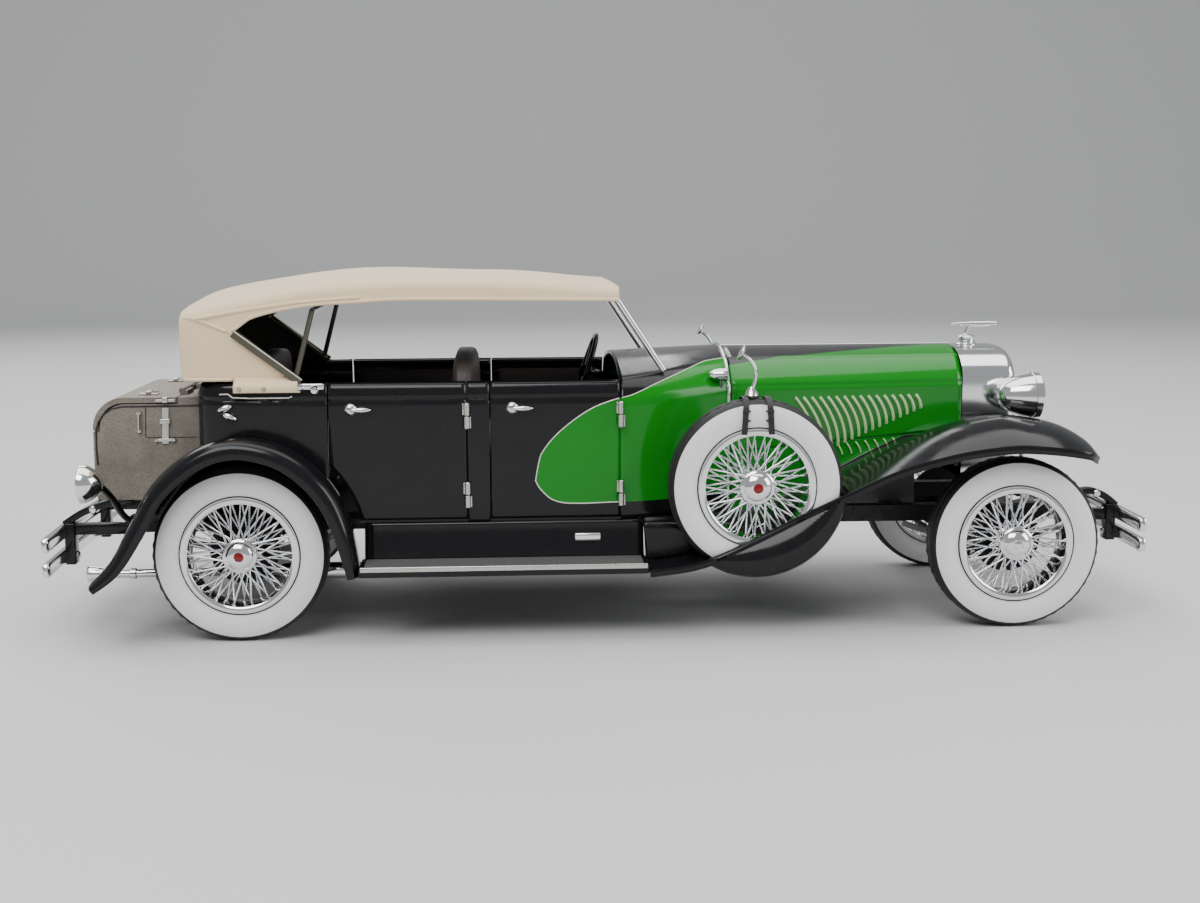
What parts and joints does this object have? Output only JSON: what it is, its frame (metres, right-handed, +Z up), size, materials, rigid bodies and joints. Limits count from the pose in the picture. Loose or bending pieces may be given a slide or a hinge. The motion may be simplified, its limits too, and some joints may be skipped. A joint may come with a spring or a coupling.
{
  "type": "diecast collector car",
  "caption": "Scale model of an open touring car with folding top raised, opening doors, hood and trunk, steering front wheels and two side-mounted spare wheels.",
  "frame": {"origin": "centre of the bounding box at ground level, under the tyres", "axes": "+X towards the nose, +Y towards the car's left side, +Z up"},
  "size_m": [0.2884, 0.1038, 0.0941],
  "materials": {
    "black_metal": "satin black",
    "black_paint": "gloss black enamel",
    "green_paint": "gloss green enamel",
    "spring_steel": "dull steel",
    "chrome": "bright plating",
    "core_metal": "fine honeycomb",
    "engine_metal": "cast silver",
    "black_plastic": "gloss black",
    "lens": "fluted clear lens",
    "board_rubber": "ribbed dark mat",
    "tyre": "black tread with white sidewalls",
    "glass": "clear",
    "top_cloth": "cream cloth",
    "iron": "olive enamel with bright edges",
    "seat_leather": "dark leather",
    "dash_metal": "engine-turned",
    "trunk_hide": "taupe hide"
  },
  "bodies": {
    "car": {"chassis_frame": "black_metal", "front_axle": "black_metal", "rear_axle": "black_metal", "leaf_springs": "spring_steel", "steering_column": "chrome", "body_shell": "black_paint", "cowl": "green_paint", "door_hinges": "chrome", "hood_hinge_rod": "chrome", "radiator_shell": "chrome", "radiator_core": "core_metal", "hood_ornament": "chrome", "engine": "engine_metal", "headlamps": "chrome", "headlamp_lenses": "lens", "headlamp_bar": "chrome", "cowl_lamps": "chrome", "front_fenders": "black_paint", "rear_fenders": "black_paint", "running_boards": "board_rubber", "splash_aprons": "black_paint", "spare_tyres": "tyre", "spare_wheels": "chrome", "mirrors": "chrome", "windshield_frame": "chrome", "windshield_glass": "glass", "soft_top": "top_cloth", "top_irons": "iron", "front_seat": "seat_leather", "rear_seat": "seat_leather", "dashboard": "dash_metal", "trunk_box": "trunk_hide", "tail_lamps": "chrome", "front_bumper": "chrome", "rear_bumper": "chrome", "exhaust_pipe": "chrome"},
    "front_right_wheel": {"tyre_front_right": "tyre", "wheel_front_right": "chrome"},
    "front_right_door": {"door_front_right": "black_paint", "handle_front_right": "chrome"},
    "front_left_wheel": {"tyre_front_left": "tyre", "wheel_front_left": "chrome"},
    "front_left_door": {"door_front_left": "black_paint", "handle_front_left": "chrome"},
    "rear_right_wheel": {"tyre_rear_right": "tyre", "wheel_rear_right": "chrome"},
    "rear_right_door": {"door_rear_right": "black_paint", "handle_rear_right": "chrome"},
    "rear_left_wheel": {"tyre_rear_left": "tyre", "wheel_rear_left": "chrome"},
    "rear_left_door": {"door_rear_left": "black_paint", "handle_rear_left": "chrome"},
    "right_steering": {"knuckle_right": "black_metal"},
    "right_hood": {"hood_right": "green_paint"},
    "left_steering": {"knuckle_left": "black_metal"},
    "left_hood": {"hood_left": "green_paint"},
    "track_rod": {"tie_rod": "spring_steel"},
    "driver_wheel": {"steering_wheel": "black_plastic"},
    "lid": {"trunk_lid": "trunk_hide"},
    "fan": {"cooling_fan": "black_plastic"}
  },
  "joints": [
    {"name": "steering_wheel_turn", "type": "hinge", "parent": "car", "child": "driver_wheel", "pos_m": [-0.0018, 0.014, 0.064], "axis": [-0.9511, 0, 0.309], "range_deg": [-100, 100]},
    {"name": "right_kingpin", "type": "hinge", "parent": "car", "child": "right_steering", "pos_m": [0.108, -0.03, 0.0224], "axis": [0, 0, 1], "range_deg": [-25, 25]},
    {"name": "left_kingpin", "type": "hinge", "parent": "car", "child": "left_steering", "pos_m": [0.108, 0.03, 0.0224], "axis": [0, 0, 1], "range_deg": [-25, 25]},
    {"name": "track_rod_pivot", "type": "hinge", "parent": "right_steering", "child": "track_rod", "pos_m": [0.098, -0.03, 0.017], "axis": [0, 0, 1], "range_deg": [-25, 25]},
    {"name": "front_right_wheel_spin", "type": "hinge", "parent": "right_steering", "child": "front_right_wheel", "pos_m": [0.108, -0.0395, 0.0224], "axis": [0, 1, 0], "continuous": true},
    {"name": "rear_right_wheel_spin", "type": "hinge", "parent": "car", "child": "rear_right_wheel", "pos_m": [-0.093, -0.0395, 0.0224], "axis": [0, 1, 0], "continuous": true},
    {"name": "front_right_door_swing", "type": "hinge", "parent": "car", "child": "front_right_door", "pos_m": [0.0047, -0.0403, 0.047], "axis": [0, 0, 1], "range_deg": [0, 65]},
    {"name": "rear_right_door_swing", "type": "hinge", "parent": "car", "child": "rear_right_door", "pos_m": [-0.0349, -0.0403, 0.047], "axis": [0, 0, 1], "range_deg": [0, 65]},
    {"name": "right_hood_lift", "type": "hinge", "parent": "car", "child": "right_hood", "pos_m": [0.0675, 0, 0.0715], "axis": [-1, 0, 0], "range_deg": [0, 50]},
    {"name": "front_left_wheel_spin", "type": "hinge", "parent": "left_steering", "child": "front_left_wheel", "pos_m": [0.108, 0.0395, 0.0224], "axis": [0, 1, 0], "continuous": true},
    {"name": "rear_left_wheel_spin", "type": "hinge", "parent": "car", "child": "rear_left_wheel", "pos_m": [-0.093, 0.0395, 0.0224], "axis": [0, 1, 0], "continuous": true},
    {"name": "front_left_door_swing", "type": "hinge", "parent": "car", "child": "front_left_door", "pos_m": [0.0047, 0.0403, 0.047], "axis": [0, 0, -1], "range_deg": [0, 65]},
    {"name": "rear_left_door_swing", "type": "hinge", "parent": "car", "child": "rear_left_door", "pos_m": [-0.0349, 0.0403, 0.047], "axis": [0, 0, -1], "range_deg": [0, 65]},
    {"name": "left_hood_lift", "type": "hinge", "parent": "car", "child": "left_hood", "pos_m": [0.0675, 0, 0.0715], "axis": [1, 0, 0], "range_deg": [0, 50]},
    {"name": "trunk_lid_lift", "type": "hinge", "parent": "car", "child": "lid", "pos_m": [-0.11045, 0, 0.06245], "axis": [0, 1, 0], "range_deg": [0, 70]},
    {"name": "fan_spin", "type": "hinge", "parent": "car", "child": "fan", "pos_m": [0.096, 0, 0.051], "axis": [1, 0, 0], "continuous": true}
  ],
  "couplings": [
    {"joint": "steering_wheel_turn", "follows": "right_kingpin", "ratio": 3.6},
    {"joint": "left_kingpin", "follows": "right_kingpin", "ratio": 1},
    {"joint": "track_rod_pivot", "follows": "right_kingpin", "ratio": -1}
  ]
}
